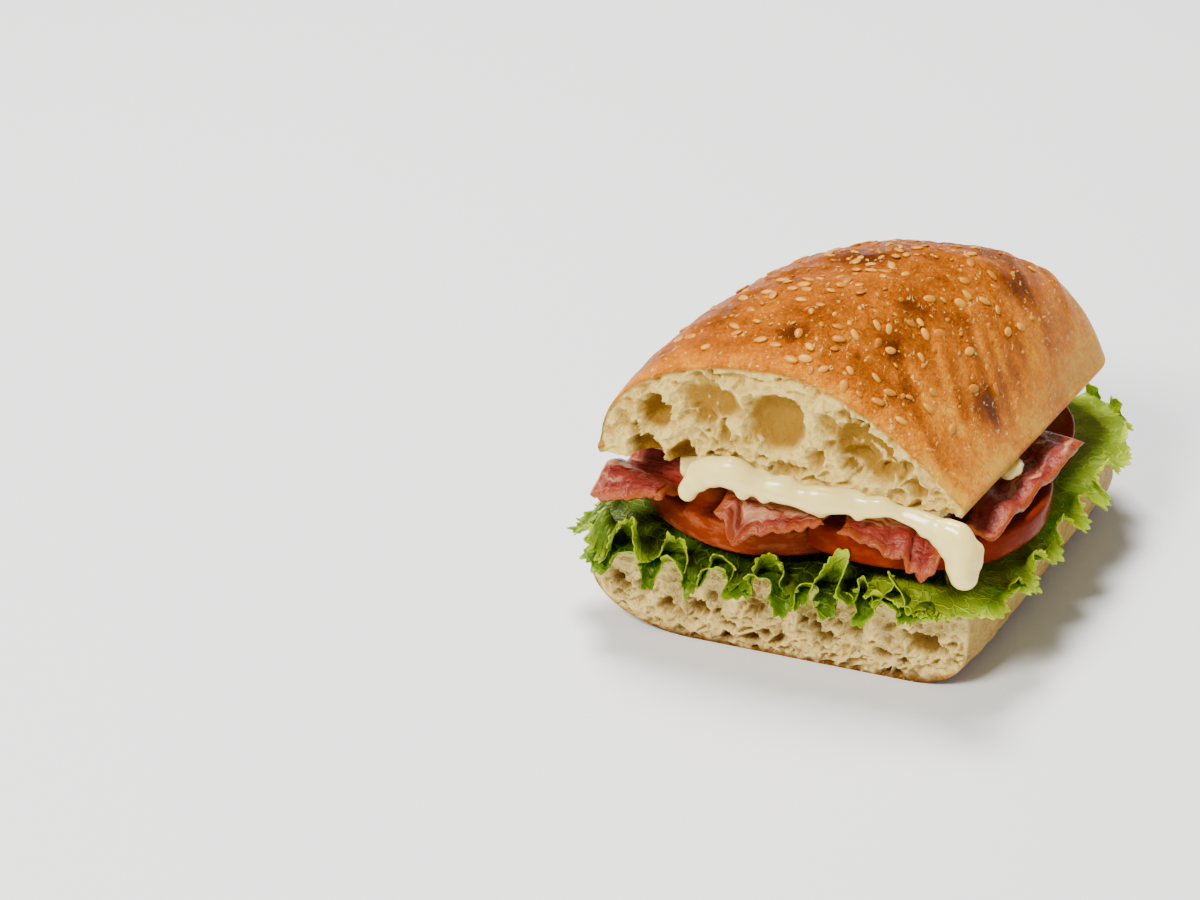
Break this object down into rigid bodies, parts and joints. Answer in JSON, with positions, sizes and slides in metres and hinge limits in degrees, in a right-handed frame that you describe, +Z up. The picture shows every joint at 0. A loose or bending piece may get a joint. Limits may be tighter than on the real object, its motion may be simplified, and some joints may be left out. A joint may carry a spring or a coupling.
{
  "type": "bacon lettuce tomato turkish roll",
  "caption": "Half of a sesame-crusted Turkish roll, cut across, filled with frilled lettuce, sliced tomato, bacon rashers and a run of mayonnaise that drips at one corner",
  "frame": {"origin": "bottom centre of the box round the whole part, on the surface it lies on", "axes": "+Z up through the roll, +X to the right along the cut face, the cut face looks towards -Y and the rounded end lies towards +Y"},
  "size_m": [0.1214, 0.1244, 0.082],
  "materials": {
    "crust": "satin",
    "crumb": "matte",
    "lettuce": "satin",
    "tomato": "gloss",
    "bacon": "gloss",
    "mayonnaise": "gloss"
  },
  "bodies": {
    "root": {"bread_crown": "crust", "bread_heel": "crumb", "lettuce_front": "lettuce", "lettuce_right": "lettuce", "lettuce_rear": "lettuce", "lettuce_left": "lettuce", "tomato_left": "tomato", "tomato_right": "tomato", "tomato_rear_left": "tomato", "tomato_rear_right": "tomato", "bacon_left": "bacon", "bacon_middle_left": "bacon", "bacon_middle_right": "bacon", "bacon_right": "bacon", "mayonnaise": "mayonnaise"}
  },
  "joints": []
}
